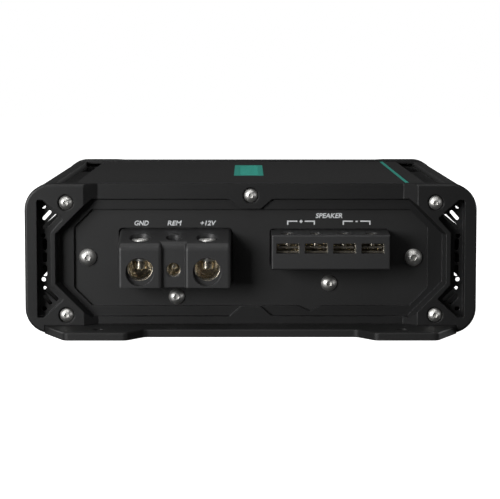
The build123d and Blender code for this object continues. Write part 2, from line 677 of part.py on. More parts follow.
def speaker_space(x):
    """All that is cut from the speaker block for one terminal: window, pocket and screw well."""
    wide, high = SPEAKER_WINDOW
    window = block((x - wide / 2, x + wide / 2), (BLOCK_FRONT_Y - 1.0, CAGE_FRONT_Y + 1.0),
                   (SPEAKER_WINDOW_Z - high / 2, SPEAKER_WINDOW_Z + high / 2))
    pocket = block((x - CAGE_HALF - CAGE_GAP, x + CAGE_HALF + CAGE_GAP), (CAGE_FRONT_Y - 0.2, BLOCK_BACK_Y),
                   (CAGE_Z[0] - CAGE_GAP, CAGE_Z[1] + CAGE_GAP))
    well = rod_z(SPEAKER_WELL_RADIUS, x, SPEAKER_SCREW_Y, (CAGE_Z[1] - 0.5, SPEAKER_Z[1] + 1.0))
    return window + pocket + well


def speaker_housing():
    """The moulded speaker block with four wire windows and four screw wells."""
    panel_y = FRONT + PANEL_FACE
    side = outline([
        (BLOCK_BACK_Y, SPEAKER_Z[0]), (BLOCK_FRONT_Y, SPEAKER_Z[0]), (BLOCK_FRONT_Y, SPEAKER_FRONT_Z),
        (panel_y, SPEAKER_Z[1]), (BLOCK_BACK_Y, SPEAKER_Z[1]),
    ])
    housing = along_x(side, SPEAKER_X)
    front_edges = housing.faces().sort_by(Axis.Y)[0].edges()
    housing = fillet(front_edges, 0.7)
    housing += block_flange(SPEAKER_X, (SPEAKER_FLANGE_LOW_Z, SPEAKER_Z[1] + BLOCK_FLANGE - 1.0))
    for x in speaker_places():
        housing -= speaker_space(x)
    return housing - flange_hole(TERMINAL_SCREWS[1])


def speaker_cage(x):
    """A bent metal cage: floor, sides and a threaded roof, closed at the back."""
    half, floor, roof = CAGE_INSIDE
    cage = block((x - CAGE_HALF, x + CAGE_HALF), (CAGE_FRONT_Y, CAGE_BACK_Y), CAGE_Z)
    cage -= block((x - half, x + half), (CAGE_FRONT_Y - 1.0, CAGE_BACK_Y - 5.0), (floor, roof))
    cage -= rod_z(SPEAKER_SCREW_RADIUS + 0.07, x, SPEAKER_SCREW_Y, (roof - 0.5, CAGE_Z[1] + 1.0))
    tail = block((x - 2.0, x + 2.0), (CAGE_BACK_Y - 0.5, BLOCK_BACK_Y + 6.0), (CAGE_Z[0], floor))
    leg = block((x - 2.0, x + 2.0), (BLOCK_BACK_Y + 4.5, BLOCK_BACK_Y + 6.0), (BOARD_TOP, floor))
    return cage + tail + leg


def speaker_plate(x):
    """The wavy clamping plate that the screw pushes down on the wire."""
    low = PLATE_LOW_Z
    wave = make_face(Polyline(
        (x - 4.4, low + 0.2), (x - 3.3, low), (x - 1.9, low + 0.35), (x, low), (x + 1.9, low + 0.35),
        (x + 3.3, low), (x + 4.4, low + 0.2), (x + 4.4, low + 0.8), (x + 3.2, low + 1.35),
        (x + 1.9, low + 0.95), (x + 0.9, low + 1.2), (x - 0.9, low + 1.2), (x - 1.9, low + 0.95),
        (x - 3.2, low + 1.35), (x - 4.4, low + 0.8), close=True))
    return along_y(wave, PLATE_Y)


def speaker_screw(x):
    """A slotted clamping screw standing on its plate."""
    low = PLATE_LOW_Z + 1.35
    high = low + 4.8
    shank = rod_z(SPEAKER_SCREW_RADIUS, x, SPEAKER_SCREW_Y, (low, high - 1.0))
    head = rod_z(2.75, x, SPEAKER_SCREW_Y, (high - 1.4, high))
    head = chamfer(head.faces().sort_by(Axis.Z)[-1].edges(), 0.35)
    y = SPEAKER_SCREW_Y
    slot = block((x - 3.0, x + 3.0), (y - 0.35, y + 0.35), (high - 0.75, high + 1.0))
    cross = block((x - 0.35, x + 0.35), (y - 1.7, y + 1.7), (high - 0.9, high + 1.0))
    return shank + head - slot - cross


def rear_panel():
    """The steel end panel behind the rear window, cut out for the controls."""
    face = REAR - PANEL_FACE
    thickness = (FRONT + PANEL_FACE, FRONT + PANEL_FACE + PANEL_THICKNESS)
    panel = Rot(0, 0, 180) * along_y(octagon(*PANEL), thickness)
    through = (face - 4.0, face + 4.0)
    for x in (-PANEL_SCREW_X, PANEL_SCREW_X):
        panel -= rod_y(M4_RADIUS + 0.2, x, through, MID_Z)
    for x in RCA_X:
        panel -= rod_y(5.1, x, through, CONTROL_Z)
    for x in KNOB_X.values():
        panel -= rod_y(KNOB_RADIUS + 0.5, x, through, CONTROL_Z)
    for x in SWITCH_X.values():
        panel -= block((x - 3.4, x + 3.4), through, (CONTROL_Z - 1.7, CONTROL_Z + 1.7))
    panel -= block((JACK_X - 6.2, JACK_X + 6.2), through, (CONTROL_Z - 5.7, CONTROL_Z + 5.7))
    for x in LENS_X:
        panel -= rod_y(1.6, x, through, LENS_Z)
    return panel


def rca_insulator(x):
    """The moulded body of a signal jack, with a flange outside the panel and a core."""
    face = REAR - PANEL_FACE
    body = block((x - 5.8, x + 5.8), (CONTROL_BOARD_Y + 1.6, face - PANEL_THICKNESS),
                 (CONTROL_Z - 6, CONTROL_Z + 6))
    neck = rod_y(5.0, x, (face - PANEL_THICKNESS - 0.5, face + 0.2), CONTROL_Z)
    flange = rod_y(5.9, x, (face, face + 1.3), CONTROL_Z)
    core = rod_y(3.45, x, (face + 1.0, face + 9.0), CONTROL_Z)
    return body + neck + flange + core - rod_y(1.65, x, (face - 3.0, face + 10.0), CONTROL_Z)


def rca_shell(x):
    """The plated outer contact of a signal jack."""
    face = REAR - PANEL_FACE
    shell = rod_y(RCA_SHELL_RADIUS, x, (face + 1.3, face + 10.3), CONTROL_Z)
    shell = chamfer(shell.faces().sort_by(Axis.Y)[-1].edges(), 0.3)
    return shell - rod_y(3.5, x, (face, face + 11.0), CONTROL_Z)


def knob(x):
    """A control knob with flutes, a pointer groove and its stem."""
    face = REAR - PANEL_FACE
    body = rod_y(KNOB_RADIUS, x, (face - 3.4, face + 5.0), CONTROL_Z)
    body = fillet(body.faces().sort_by(Axis.Y)[-1].edges(), 0.6)
    for step in range(16):
        angle = math.radians(step * 22.5 + 11.25)
        reach = KNOB_RADIUS + 0.35
        body -= rod_y(0.6, x + reach * math.cos(angle), (face + 0.8, face + 6.0),
                      CONTROL_Z + reach * math.sin(angle))
    body -= block((x - 0.4, x + 0.4), (face + 4.4, face + 6.0),
                  (CONTROL_Z + 0.6, CONTROL_Z + KNOB_RADIUS + 1))
    return body + rod_y(1.5, x, (CONTROL_BOARD_Y + 3.0, face - 3.0), CONTROL_Z)


def pot_body(x):
    """The body of a rotary control on the small board."""
    body = block((x - 5.0, x + 5.0), (CONTROL_BOARD_Y + 1.6, CONTROL_BOARD_Y + 10.0),
                 (CONTROL_Z - 6, CONTROL_Z + 5))
    return body - rod_y(1.57, x, (CONTROL_BOARD_Y + 2.6, CONTROL_BOARD_Y + 11.0), CONTROL_Z)


def switch_body(x):
    """The frame of a slide switch, open at the front for its lever."""
    body = block((x - 5.4, x + 5.4), (CONTROL_BOARD_Y + 1.6, CONTROL_BOARD_Y + 13.0),
                 (CONTROL_Z - 3, CONTROL_Z + 3))
    return body - block((x - 3.3, x + 3.3), (CONTROL_BOARD_Y + 8.0, CONTROL_BOARD_Y + 14.0),
                        (CONTROL_Z - 1.6, CONTROL_Z + 1.6))


def switch_lever(x):
    """The sliding lever of a switch, at the middle of its travel."""
    face = REAR - PANEL_FACE
    lever = block((x - 1.3, x + 1.3), (CONTROL_BOARD_Y + 8.3, face + 2.2), (CONTROL_Z - 1.2, CONTROL_Z + 1.2))
    return fillet(lever.faces().sort_by(Axis.Y)[-1].edges(), 0.3)


def remote_jack():
    """The square socket for a wired level control."""
    face = REAR - PANEL_FACE
    body = block((JACK_X - 6.0, JACK_X + 6.0), (CONTROL_BOARD_Y + 1.6, face + 0.3),
                 (CONTROL_Z - 5.5, CONTROL_Z + 5.5))
    body -= block((JACK_X - 4.9, JACK_X + 4.9), (face - 9.0, face + 1.0), (CONTROL_Z - 3.3, CONTROL_Z + 3.3))
    return body - block((JACK_X - 1.8, JACK_X + 1.8), (face - 9.0, face + 1.0),
                        (CONTROL_Z + 3.0, CONTROL_Z + 4.6))


def indicator_lens(x):
    """A clear light pipe from the board to the panel."""
    face = REAR - PANEL_FACE
    pipe = rod_y(1.5, x, (CONTROL_BOARD_Y + 1.6, face + 0.8), LENS_Z)
    return fillet(pipe.faces().sort_by(Axis.Y)[-1].edges(), 0.6)


def control_board():
    """The small upright board that carries the rear controls."""
    return block((-68.0, 68.0), (CONTROL_BOARD_Y, CONTROL_BOARD_Y + 1.6), (BOARD_TOP - 4.0, 53.0))


def main_board():
    """The main circuit board, drilled for its pillars."""
    board = block((-BOARD_HALF_X, BOARD_HALF_X), BOARD_Y, (BOARD_Z, BOARD_TOP))
    for x, y in standoff_places():
        board -= rod_z(M3_RADIUS + 0.2, x, y, (0, 20.0))
    return board


def standoff(x, y):
    """A threaded pillar under the main board."""
    pillar = extrude(Pos(x, y, BASE_THICKNESS) * RegularPolygon(3.0, 6), BOARD_Z - BASE_THICKNESS)
    return pillar - rod_z(M3_RADIUS + SCREW_GAP, x, y, (0, 20.0))


def wound_ring(x, y, z, outer, inner, height):
    """The envelope of a ring core with its copper winding."""
    wide = outer - inner
    section = Pos((outer + inner) / 2, 0) * RectangleRounded(wide, height, wide * 0.3)
    return Pos(x, y, z) * revolve(Plane.XZ * section, Axis.Z, 360)


def inductor_base(x, y, radius):
    """The plastic stand under a wound ring."""
    return rod_z(radius, x, y, (BOARD_TOP, BOARD_TOP + 2.5)) - rod_z(radius * 0.4, x, y, (0, 40))


def capacitor(x, y, radius, height):
    """An electrolytic can with a rolled groove and a scored top."""
    can = rod_z(radius, x, y, (BOARD_TOP + 0.1, BOARD_TOP + height))
    can = fillet(can.faces().sort_by(Axis.Z)[-1].edges(), 0.8)
    groove = Pos(x, y, BOARD_TOP + 3.5) * Torus(radius + 0.25, 0.7)
    top = BOARD_TOP + height
    score = block((x - radius * 0.7, x + radius * 0.7), (y - 0.25, y + 0.25), (top - 0.3, top + 1))
    score += block((x - 0.25, x + 0.25), (y - radius * 0.7, y + radius * 0.7), (top - 0.3, top + 1))
    return can - groove - score


def power_device(side, y):
    """A power transistor standing on the board against its wall."""
    outer = WALL_OUTER_X - WALL_THICKNESS - PAD_THICKNESS
    inner = outer - DEVICE_DEPTH
    low = BOARD_TOP + 1.8
    body = block((inner, outer - 1.3), (y - 5.0, y + 5.0), (low, low + 9.2))
    body += block((outer - 1.3, outer), (y - 5.0, y + 5.0), (low, low + 13.6))
    for step in (-2.54, 0.0, 2.54):
        body += block((inner - 3.2, inner + 0.5), (y + step - 0.4, y + step + 0.4), (low + 0.8, low + 1.3))
        body += block((inner - 3.2, inner - 2.7), (y + step - 0.4, y + step + 0.4), (BOARD_TOP, low + 1.3))
    return body if side > 0 else mirror(body, Plane.YZ)


def thermal_pad(side):
    """The insulating sheet between the transistors and the wall."""
    outer = WALL_OUTER_X - WALL_THICKNESS
    pad = block((outer - PAD_THICKNESS, outer), (-64.0, 64.0), (BOARD_TOP + 1.0, BOARD_TOP + 16.2))
    for y in CLAMP_SCREW_Y:
        pad -= rod_x(M3_RADIUS + 0.3, (outer - 2, outer + 2), y, CLAMP_Z)
    return pad if side > 0 else mirror(pad, Plane.YZ)


def clamp_bar(side):
    """The spring bar that holds a row of transistors against the wall."""
    outer = WALL_OUTER_X - WALL_THICKNESS - PAD_THICKNESS - DEVICE_DEPTH
    bar = block((outer - CLAMP_THICKNESS, outer), (-63.0, 63.0), (CLAMP_Z - 4.0, CLAMP_Z + 4.0))
    bar += block((outer - 4.2, outer), (-63.0, 63.0), (CLAMP_Z + 4.0, CLAMP_Z + 5.4))
    for y in CLAMP_SCREW_Y:
        bar -= rod_x(M3_RADIUS + 0.2, (outer - 3, outer + 1), y, CLAMP_Z)
    return bar if side > 0 else mirror(bar, Plane.YZ)


def clamp_screw(side, y):
    """A screw through the spring bar into the wall."""
    seat = WALL_OUTER_X - WALL_THICKNESS - PAD_THICKNESS - DEVICE_DEPTH - CLAMP_THICKNESS
    screw = Pos(seat, y, CLAMP_Z) * Rot(0, -90, 0) * button_screw(2.7, M3_RADIUS, 8.4, 1.8)
    return screw if side > 0 else mirror(screw, Plane.YZ)


def board_connector():
    """The pin header that joins the two boards."""
    return block((-12.0, 12.0), (CONTROL_BOARD_Y - 5.4, CONTROL_BOARD_Y - 0.2), (BOARD_TOP, BOARD_TOP + 8.5))


def write_case():
    """The shells, panels, trim and the screws that hold them."""
    save("heatsink_body", heatsink())
    save("front_cap", end_cap(front_window()))
    save("rear_cap", Rot(0, 0, 180) * end_cap(octagon(*WINDOW)))
    save("base_plate", base_plate())
    save("front_panel", front_panel())
    save("rear_panel", rear_panel())
    save("stripe_inlay", stripe(TOP_Z - TRIM_SET_DOWN))
    save("badge_plate", badge())
    screw = button_screw(CAP_SCREW_HEAD, M3_RADIUS, 18.0, 2.0)
    front = [facing_front(screw, x, FRONT + depth + SEAT_DEPTH, z) for x, depth, z in cap_screw_places()]
    save("front_cap_screws", front)
    save("rear_cap_screws", [Rot(0, 0, 180) * item for item in front])
    big = button_screw(PANEL_SCREW_HEAD, M4_RADIUS, 12.0, 2.8)
    ends = [facing_front(big, x, FRONT + PANEL_FACE, MID_Z) for x in (-PANEL_SCREW_X, PANEL_SCREW_X)]
    save("panel_screws", ends + [Rot(0, 0, 180) * item for item in ends])
    small = button_screw(3.5, M4_RADIUS, 7.0, 2.5)
    save("terminal_screws", [facing_front(small, x, FRONT + PANEL_FACE, z) for x, z in TERMINAL_SCREWS])
    save("base_screws", [Pos(x, y, 0) * flat_screw(9.0) for x, y in base_screw_places()])


def write_terminals():
    """The power and speaker terminals and their clamping pieces."""
    save("power_block_housing", power_housing())
    save("speaker_block_housing", speaker_housing())
    for name in TERMINALS:
        save(name + "_barrel", barrel(name))
        save(name + "_pressure_tip", pressure_tip(name))
        save(name + "_set_screw", set_screw(name))
    save("speaker_cages", [speaker_cage(x) for x in speaker_places()])
    for number, x in enumerate(speaker_places(), 1):
        save(f"speaker_clamp_plate_{number}", speaker_plate(x))
        save(f"speaker_clamp_screw_{number}", speaker_screw(x))


def write_controls():
    """The signal jacks, knobs, switches and lamps at the rear."""
    save("rca_jack_bodies", [rca_insulator(x) for x in RCA_X])
    save("rca_jack_shells", [rca_shell(x) for x in RCA_X])
    for name, x in KNOB_X.items():
        save(name + "_knob", knob(x))
    save("control_pots", [pot_body(x) for x in KNOB_X.values()])
    for name, x in SWITCH_X.items():
        save(name + "_switch_lever", switch_lever(x))
    save("switch_bodies", [switch_body(x) for x in SWITCH_X.values()])
    save("remote_level_jack", remote_jack())
    save("indicator_lenses", [indicator_lens(x) for x in LENS_X])
    save("control_board", control_board())


def write_inside():
    """The boards and the parts on them."""
    save("main_board", main_board())
    save("board_pillars", [standoff(x, y) for x, y in standoff_places()])
    pillar_screws = [Pos(x, y, 0) * flat_screw(6.0) for x, y in standoff_places()]
    board_screw = button_screw(2.7, M3_RADIUS, 4.8, 1.8)
    save("pillar_screws", pillar_screws + [Pos(x, y, BOARD_TOP) * board_screw for x, y in standoff_places()])
    save("power_transformer", wound_ring(-20.0, -38.0, BOARD_TOP + 16.4, 26.7, 10.3, 27.5))
    save("output_inductor", wound_ring(28.0, 20.0, BOARD_TOP + 13.4, 21.7, 8.3, 21.5))
    save("ring_stands", [inductor_base(-20.0, -38.0, 20.0), inductor_base(28.0, 20.0, 16.0)])
    cans = [capacitor(x, -38.0, 8.0, 36.0) for x in (18.0, 36.0, 54.0)]
    cans += [capacitor(x, 32.0 + dy, 9.0, 40.0) for x in (-48.0, -26.0) for dy in (0.0, 24.0)]
    save("bulk_capacitors", cans)
    save("power_transistors", [power_device(side, y) for side in (1, -1) for y in DEVICE_Y])
    save("thermal_pads", [thermal_pad(1), thermal_pad(-1)])
    save("clamp_bars", [clamp_bar(1), clamp_bar(-1)])
    save("clamp_screws", [clamp_screw(side, y) for side in (1, -1) for y in CLAMP_SCREW_Y])
    save("board_connector", board_connector())


write_case()
write_terminals()
write_controls()
write_inside()
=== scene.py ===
import bpy
import json
import math
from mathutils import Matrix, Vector


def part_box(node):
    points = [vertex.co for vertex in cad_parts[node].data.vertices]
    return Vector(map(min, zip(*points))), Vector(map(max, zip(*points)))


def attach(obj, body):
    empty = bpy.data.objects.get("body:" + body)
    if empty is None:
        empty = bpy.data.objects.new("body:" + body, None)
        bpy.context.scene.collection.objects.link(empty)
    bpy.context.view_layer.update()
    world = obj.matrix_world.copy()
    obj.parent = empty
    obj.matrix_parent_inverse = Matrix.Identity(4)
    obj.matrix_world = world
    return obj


# Looks for the car amplifier, in metres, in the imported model's own frame.
# +X is the right side seen from the terminal end, -Y the terminal end, +Z up.

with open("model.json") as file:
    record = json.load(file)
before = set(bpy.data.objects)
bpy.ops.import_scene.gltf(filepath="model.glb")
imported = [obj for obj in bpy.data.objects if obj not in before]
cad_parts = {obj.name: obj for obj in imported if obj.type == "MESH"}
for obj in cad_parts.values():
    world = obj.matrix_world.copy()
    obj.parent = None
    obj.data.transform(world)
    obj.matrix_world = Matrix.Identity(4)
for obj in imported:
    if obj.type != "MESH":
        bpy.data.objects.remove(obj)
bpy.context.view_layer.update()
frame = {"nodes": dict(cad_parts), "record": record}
NODES = frame["nodes"]
MM = 0.001

# Camera
CAMERA_PLACE = (-1.68 * MM, -1014.8 * MM, 123.6 * MM)
CAMERA_TILT = 5.438          # degrees below the horizon
CAMERA_TURN = -0.087
CAMERA_LENS = 147.93

# Colours, linear
CAP_BLACK = (0.0082, 0.0082, 0.0084)
BODY_BLACK = (0.0085, 0.0085, 0.0085)
PANEL_BLACK = (0.0135, 0.0135, 0.0136)
TERMINAL_GREY = (0.026, 0.026, 0.0265)
TEAL = (0.055, 0.480, 0.380)
ZINC = (0.86, 0.85, 0.82)
NICKEL = (0.80, 0.73, 0.60)
LEGEND_WHITE = (0.74, 0.76, 0.77)

# Lamps: place and size in metres, power in watts
LAMPS = {
    "soft_box_left": ((-0.85, -1.15, 0.28), (0.7, 0.6), 15.0),
    "overhead_box": ((-0.2, 0.1, 1.25), (1.2, 1.0), 3.5),
    "front_strip": ((-0.1, -0.75, 0.95), (1.1, 0.2), 2.2),
    "right_fill": ((1.15, -0.8, 0.25), (0.5, 0.5), 1.2),
    "back_left": ((-1.25, 0.85, 0.35), (0.6, 0.5), 5.0),
    "back_right": ((1.25, 1.0, 0.35), (0.6, 0.5), 7.0),
}
LAMP_AIM = (0.0, 0.0, 0.03)
SURROUND_SEEN = 1.0
SURROUND_LIGHTING = 0.022
FLOOR_SIZE = 6.0
FLOOR_Z = -0.0002            # just under the feet
FLOOR_GLOW = 1.1

# Printed legends
INK = 0.05 * MM
PRINT_GAP = 0.01 * MM
LETTER_SHEAR = 0.18
LETTER_WEIGHT = 0.035        # thickening of the strokes, over the letter's height
CAPITAL_SHARE = 0.69         # height of a capital over the font's size
LETTER = 2.05 * MM
LETTER_SET_LEFT = 0.2 * MM
POWER_NAMES = {"ground": ("GND", 6.4 * MM), "remote": ("REM", 6.4 * MM), "supply": ("+12V", 7.0 * MM)}
POWER_NAME_RISE = 0.6 * MM   # over the top of the block's flange
SPEAKER_WIDTH = 12.0 * MM
SPEAKER_RISE = 2.1 * MM      # over the brackets
BRACKET_RISE = 2.2 * MM      # over the top of the block's flange
BRACKET_LINE = 0.55 * MM
BRACKET_DROP = 1.9 * MM
BRACKET_GAP = 1.65 * MM
SIGN_DROP = 0.35 * MM
SIGN_HALF_LINE = 0.28 * MM
DIAL_NAMES = {
    "gain": ("GAIN", 5.4 * MM), "lowpass": ("LPF", 4.2 * MM),
    "subsonic": ("SUB", 4.2 * MM), "bass_boost": ("BASS", 5.4 * MM),
}
DIAL_LETTER = 1.9 * MM
DIAL_NAME_DROP = 5.0 * MM
DIAL_STEPS = 11
DIAL_TURN = 270.0            # degrees from the first line to the last
TICK_WIDTH = 0.3 * MM
TICK_GAP = 1.5 * MM
TICK_END = 2.4 * MM
LONG_TICK_END = 3.0 * MM


# ---------------------------------------------------------------- shader maths

class Socket:
    """One output of a node tree. Arithmetic on it adds Math nodes."""

    def __init__(self, graph, output):
        self.graph = graph
        self.output = output

    def maths(self, operation, first, second):
        return self.graph.node("ShaderNodeMath", {"operation": operation}, {0: first, 1: second})

    def __add__(self, other):
        return self.maths("ADD", self, other)

    def __radd__(self, other):
        return self.maths("ADD", other, self)

    def __sub__(self, other):
        return self.maths("SUBTRACT", self, other)

    def __rsub__(self, other):
        return self.maths("SUBTRACT", other, self)

    def __mul__(self, other):
        return self.maths("MULTIPLY", self, other)

    def __rmul__(self, other):
        return self.maths("MULTIPLY", other, self)


class Graph:
    """A node tree, built from nothing."""

    def __init__(self, tree):
        self.tree = tree
        self.tree.nodes.clear()

    def node(self, kind, settings=None, sockets=None, output=0):
        """Add a node: its settings first, then its sockets, given as values or links."""
        node = self.tree.nodes.new(kind)
        for name, value in (settings or {}).items():
            if name == "stops":
                self.set_stops(node.color_ramp, value)
            else:
                setattr(node, name, value)
        for name, value in (sockets or {}).items():
            if isinstance(value, Socket):
                self.tree.links.new(value.output, node.inputs[name])
            else:
                node.inputs[name].default_value = value
        return Socket(self, node.outputs[output]) if node.outputs else None

    def set_stops(self, ramp, stops):
        """Give a colour ramp its stops, each a position and a grey value or a colour."""
        while len(ramp.elements) < len(stops):
            ramp.elements.new(0.5)
        for element, (place, value) in zip(ramp.elements, stops):
            element.position = place
            colour = value if isinstance(value, tuple) else (value, value, value)
            element.color = (*colour, 1.0)


class Finish(Graph):
    """A material built node by node."""

    def __init__(self, name):
        self.material = bpy.data.materials.new(name)
        self.material.use_nodes = True
        super().__init__(self.material.node_tree)

    def place(self):
        return self.node("ShaderNodeTexCoord", output=3)

    def noise(self, scale, detail=2.0, roughness=0.5, vector=None):
        """Noise from 0 to 1. The scale is in waves per metre."""
        sockets = {"Vector": vector or self.place(), "Scale": scale, "Detail": detail, "Roughness": roughness}
        return self.node("ShaderNodeTexNoise", {}, sockets)

    def cells(self, scale):
        """Distance to the nearest of many scattered points."""
        return self.node("ShaderNodeTexVoronoi", {}, {"Vector": self.place(), "Scale": scale})

    def band(self, value, low, high):
        """The value's climb from 0 at low to 1 at high, clamped."""
        sockets = {"Value": value, "From Min": low, "From Max": high}
        return self.node("ShaderNodeMapRange", {"clamp": True}, sockets)

    def blend(self, factor, first, second):
        """A colour between two colours."""
        first, second = (value if isinstance(value, Socket) else (*value, 1.0) for value in (first, second))
        return self.node("ShaderNodeMix", {"data_type": "RGBA"}, {0: factor, 6: first, 7: second}, output=2)

    def stretched(self, scale):
        """Object coordinates stretched along the axes."""
        return self.node("ShaderNodeMapping", {}, {"Vector": self.place(), "Scale": scale})

    def bump(self, height, depth, strength=1.0, normal=None):
        """A normal from a height, the depth in metres."""
        sockets = {"Height": height, "Distance": depth, "Strength": strength}
        if normal is not None:
            sockets["Normal"] = normal
        return self.node("ShaderNodeBump", {}, sockets)

    def soft_edges(self, radius):
        """A normal that rounds the edges by the given radius in metres."""
        return self.node("ShaderNodeBevel", {"samples": 6}, {"Radius": radius})

    def surface(self, colour, roughness, normal=None, metallic=0.0, constants=None):
        """The shader itself. What varies is linked, what doesn't is set on its own socket."""
        base = colour if isinstance(colour, Socket) else (*colour, 1.0)
        sockets = {"Base Color": base, "Roughness": roughness, "Metallic": metallic}
        if normal is not None:
            sockets["Normal"] = normal
        sockets.update(constants or {})
        shader = self.node("ShaderNodeBsdfPrincipled", {}, sockets)
        self.node("ShaderNodeOutputMaterial", {}, {"Surface": shader})
        return self.material


def scaled(colour, factor):
    return tuple(channel * factor for channel in colour)


# ------------------------------------------------------------------- materials

def moulded_plastic(name, colour, roughness, grain_scale, grain_depth, edge=0.35 * MM):
    """Satin moulded plastic: fine spark-eroded grain, faint flow clouds and softened edges."""
    finish = Finish(name)
    grain = finish.noise(grain_scale, 3.0, 0.6)
    clouds = finish.noise(28.0, 2.0, 0.5)
    scuffs = finish.band(finish.noise(420.0, 4.0, 0.7), 0.56, 0.74)
    tone = finish.blend(clouds, scaled(colour, 0.86), scaled(colour, 1.16))
    speckled = finish.blend(finish.band(grain, 0.35, 0.8) * 0.35, tone, scaled(colour, 1.7))
    gloss = roughness + (clouds - 0.5) * 0.06 + scuffs * 0.05 + (grain - 0.5) * 0.08
    normal = finish.bump(grain, grain_depth, 0.7, finish.soft_edges(edge))
    return finish.surface(speckled, gloss, normal)


def powder_coat(name, colour, roughness, edge=0.4 * MM):
    """Fine textured powder coat on aluminium: an orange-peel skin with tiny bright flecks."""
    finish = Finish(name)
    peel = finish.cells(1500.0)
    fine = finish.noise(4200.0, 2.0, 0.6)
    clouds = finish.noise(18.0, 2.0, 0.5)
    flecks = finish.band(fine, 0.58, 0.8)
    tone = finish.blend(clouds, scaled(colour, 0.85), scaled(colour, 1.15))
    speckled = finish.blend(flecks * 0.6, tone, scaled(colour, 2.6))
    gloss = roughness + (clouds - 0.5) * 0.05 + (peel - 0.4) * 0.1
    height = peel * 0.6 + fine * 0.5
    normal = finish.bump(height, 0.045 * MM, 0.8, finish.soft_edges(edge))
    return finish.surface(speckled, gloss, normal)


def bright_metal(name, colour, roughness, edge=0.15 * MM, tarnish=0.35):
    """Plated metal with turning marks, fine scratches and a little tarnish."""
    finish = Finish(name)
    clouds = finish.noise(900.0, 3.0, 0.6)
    scratches = finish.noise(2600.0, 4.0, 0.7, finish.stretched((1.0, 0.25, 1.0)))
    dirt = finish.band(finish.noise(350.0, 3.0, 0.6), 0.5, 0.75)
    tone = finish.blend(dirt * tarnish, colour, scaled(colour, 0.45))
    gloss = roughness + (clouds - 0.5) * 0.1 + (scratches - 0.5) * 0.08 + dirt * 0.08
    normal = finish.bump(scratches, 0.004 * MM, 0.5, finish.soft_edges(edge))
    return finish.surface(tone, gloss, normal, metallic=1.0)


def glossy_trim(name, colour):
    """The smooth coloured trim, with a fine satin ripple."""
    finish = Finish(name)
    ripple = finish.noise(700.0, 2.0, 0.5)
    clouds = finish.noise(60.0, 2.0, 0.5)
    tone = finish.blend(clouds, scaled(colour, 0.92), scaled(colour, 1.08))
    gloss = 0.38 + (ripple - 0.5) * 0.08
    normal = finish.bump(ripple, 0.01 * MM, 0.5, finish.soft_edges(0.12 * MM))
    return finish.surface(tone, gloss, normal)


def painted_ink(name, colour):
    """Screen-printed ink, slightly uneven."""
    finish = Finish(name)
    cover = finish.noise(2400.0, 3.0, 0.6)
    tone = finish.blend(finish.band(cover, 0.3, 0.7), scaled(colour, 0.88), colour)
    return finish.surface(tone, 0.5 + (cover - 0.5) * 0.1, finish.bump(cover, 0.006 * MM, 0.5))


def circuit_board(name):
    """Green solder mask with fine tracks showing through."""
    finish = Finish(name)
    tracks = finish.node("ShaderNodeTexBrick", {}, {
        "Vector": finish.place(), "Scale": 160.0, "Mortar Size": 0.06, "Color1": (0, 0, 0, 1),
        "Color2": (0.2, 0.2, 0.2, 1), "Mortar": (1, 1, 1, 1)})
    speck = finish.noise(1500.0, 2.0, 0.5)
    tone = finish.blend(tracks, (0.006, 0.045, 0.016), (0.012, 0.085, 0.03))
    return finish.surface(tone, 0.35 + (speck - 0.5) * 0.1, finish.bump(tracks, 0.03 * MM, 0.6))


def copper_winding(name):
    """Enamelled wire lying side by side around the ring."""
    finish = Finish(name)
    turns = finish.node("ShaderNodeTexWave", {"wave_type": "BANDS", "bands_direction": "DIAGONAL"}, {
        "Vector": finish.place(), "Scale": 220.0, "Distortion": 1.2, "Detail": 1.0})
    tone = finish.blend(turns, (0.16, 0.045, 0.014), (0.62, 0.24, 0.09))
    return finish.surface(tone, 0.32 + (1.0 - turns) * 0.15, finish.bump(turns, 0.25 * MM, 0.8), metallic=0.7)


def silicone_pad(name):
    """The grey insulating sheet."""
    finish = Finish(name)
    weave = finish.noise(1800.0, 2.0, 0.5)
    tone = finish.blend(weave, (0.22, 0.23, 0.25), (0.34, 0.35, 0.38))
    return finish.surface(tone, 0.75 + (weave - 0.5) * 0.1, finish.bump(weave, 0.02 * MM, 0.5))


def clear_lens(name):
    """Clear moulded acrylic for the light pipes."""
    finish = Finish(name)
    haze = finish.noise(500.0, 2.0, 0.5)
    tone = finish.blend(haze, (0.78, 0.84, 0.86), (0.9, 0.93, 0.94))
    return finish.surface(tone, 0.08 + haze * 0.06, constants={"Transmission Weight": 0.85, "IOR": 1.49})


def floor_paper(name):
    """The pale studio floor."""
    finish = Finish(name)
    fibre = finish.noise(300.0, 3.0, 0.6)
    tone = finish.blend(fibre, (0.90, 0.90, 0.90), (0.94, 0.94, 0.94))
    glow = {"Emission Color": (1.0, 1.0, 1.0, 1.0), "Emission Strength": FLOOR_GLOW}
    return finish.surface(tone, 0.9 + (fibre - 0.5) * 0.05, constants=glow)


